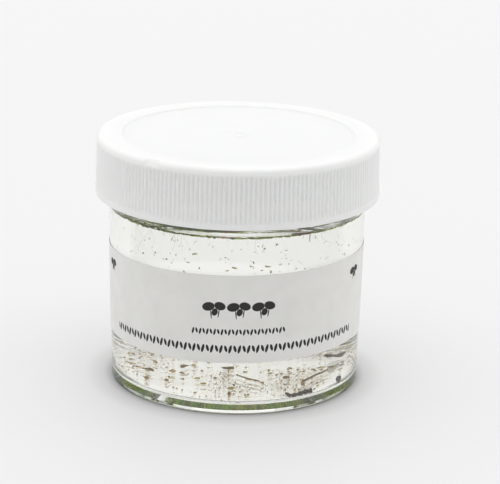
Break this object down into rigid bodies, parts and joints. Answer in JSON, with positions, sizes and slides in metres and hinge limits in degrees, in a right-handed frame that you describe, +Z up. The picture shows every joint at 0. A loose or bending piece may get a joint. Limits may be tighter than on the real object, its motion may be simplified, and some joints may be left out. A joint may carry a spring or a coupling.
{
  "type": "duckweed in a screw-lid jar of water",
  "caption": "Clear straight-sided jar of water with a ribbed white screw lid, a paper label and a mat of duckweed floating under the lid.",
  "frame": {"origin": "middle of the jar's foot, on the surface that it stands on", "axes": "+Z up along the jar's axis, -Y out of the middle of the label"},
  "size_m": [0.0554, 0.0554, 0.049],
  "materials": {
    "clear_jar": "polished",
    "white_lid": "satin",
    "liner_foam": "matte",
    "label_paper": "matte",
    "water": "polished",
    "duckweed": "satin",
    "wet_bark": "matte",
    "dead_leaf": "matte"
  },
  "bodies": {
    "jar": {"jar": "clear_jar", "label": "label_paper", "water": "water", "duckweed_plant_01": "duckweed", "duckweed_plant_02": "duckweed", "duckweed_plant_03": "duckweed", "duckweed_plant_04": "duckweed", "duckweed_plant_05": "duckweed", "duckweed_plant_06": "duckweed", "duckweed_plant_07": "duckweed", "duckweed_plant_08": "duckweed", "duckweed_plant_09": "duckweed", "duckweed_plant_10": "duckweed", "duckweed_plant_11": "duckweed", "duckweed_plant_12": "duckweed", "duckweed_plant_13": "duckweed", "duckweed_plant_14": "duckweed", "duckweed_plant_15": "duckweed", "duckweed_plant_16": "duckweed", "duckweed_plant_17": "duckweed", "duckweed_plant_18": "duckweed", "duckweed_plant_19": "duckweed", "duckweed_plant_20": "duckweed", "duckweed_plant_21": "duckweed", "duckweed_plant_22": "duckweed", "duckweed_plant_23": "duckweed", "duckweed_plant_24": "duckweed", "duckweed_plant_25": "duckweed", "duckweed_plant_26": "duckweed", "duckweed_plant_27": "duckweed", "duckweed_plant_28": "duckweed", "duckweed_plant_29": "duckweed", "duckweed_plant_30": "duckweed", "duckweed_plant_31": "duckweed", "duckweed_plant_32": "duckweed", "duckweed_plant_33": "duckweed", "duckweed_plant_34": "duckweed", "duckweed_plant_35": "duckweed", "duckweed_plant_36": "duckweed", "duckweed_plant_37": "duckweed", "duckweed_plant_38": "duckweed", "duckweed_plant_39": "duckweed", "duckweed_plant_40": "duckweed", "stick_front": "wet_bark", "twig_long": "wet_bark", "root_strand": "wet_bark", "seed_husk": "wet_bark", "twig_afloat": "wet_bark", "leaf_chip_dark": "dead_leaf", "leaf_scrap_left": "dead_leaf", "leaf_scrap_middle": "dead_leaf", "leaf_scrap_back": "dead_leaf"},
    "liner": {"lid_liner": "liner_foam"},
    "lid": {"lid": "white_lid"}
  },
  "joints": [
    {"name": "lid_rise", "type": "slide", "parent": "jar", "child": "liner", "axis": [0, 0, 1], "range_m": [0, 0.00424]},
    {"name": "lid_turn", "type": "hinge", "parent": "liner", "child": "lid", "pos_m": [0, 0, 0.0433], "axis": [0, 0, 1], "range_deg": [0, 360]}
  ],
  "couplings": [
    {"joint": "lid_rise", "follows": "lid_turn", "m_per_rad": 0.00067376}
  ]
}
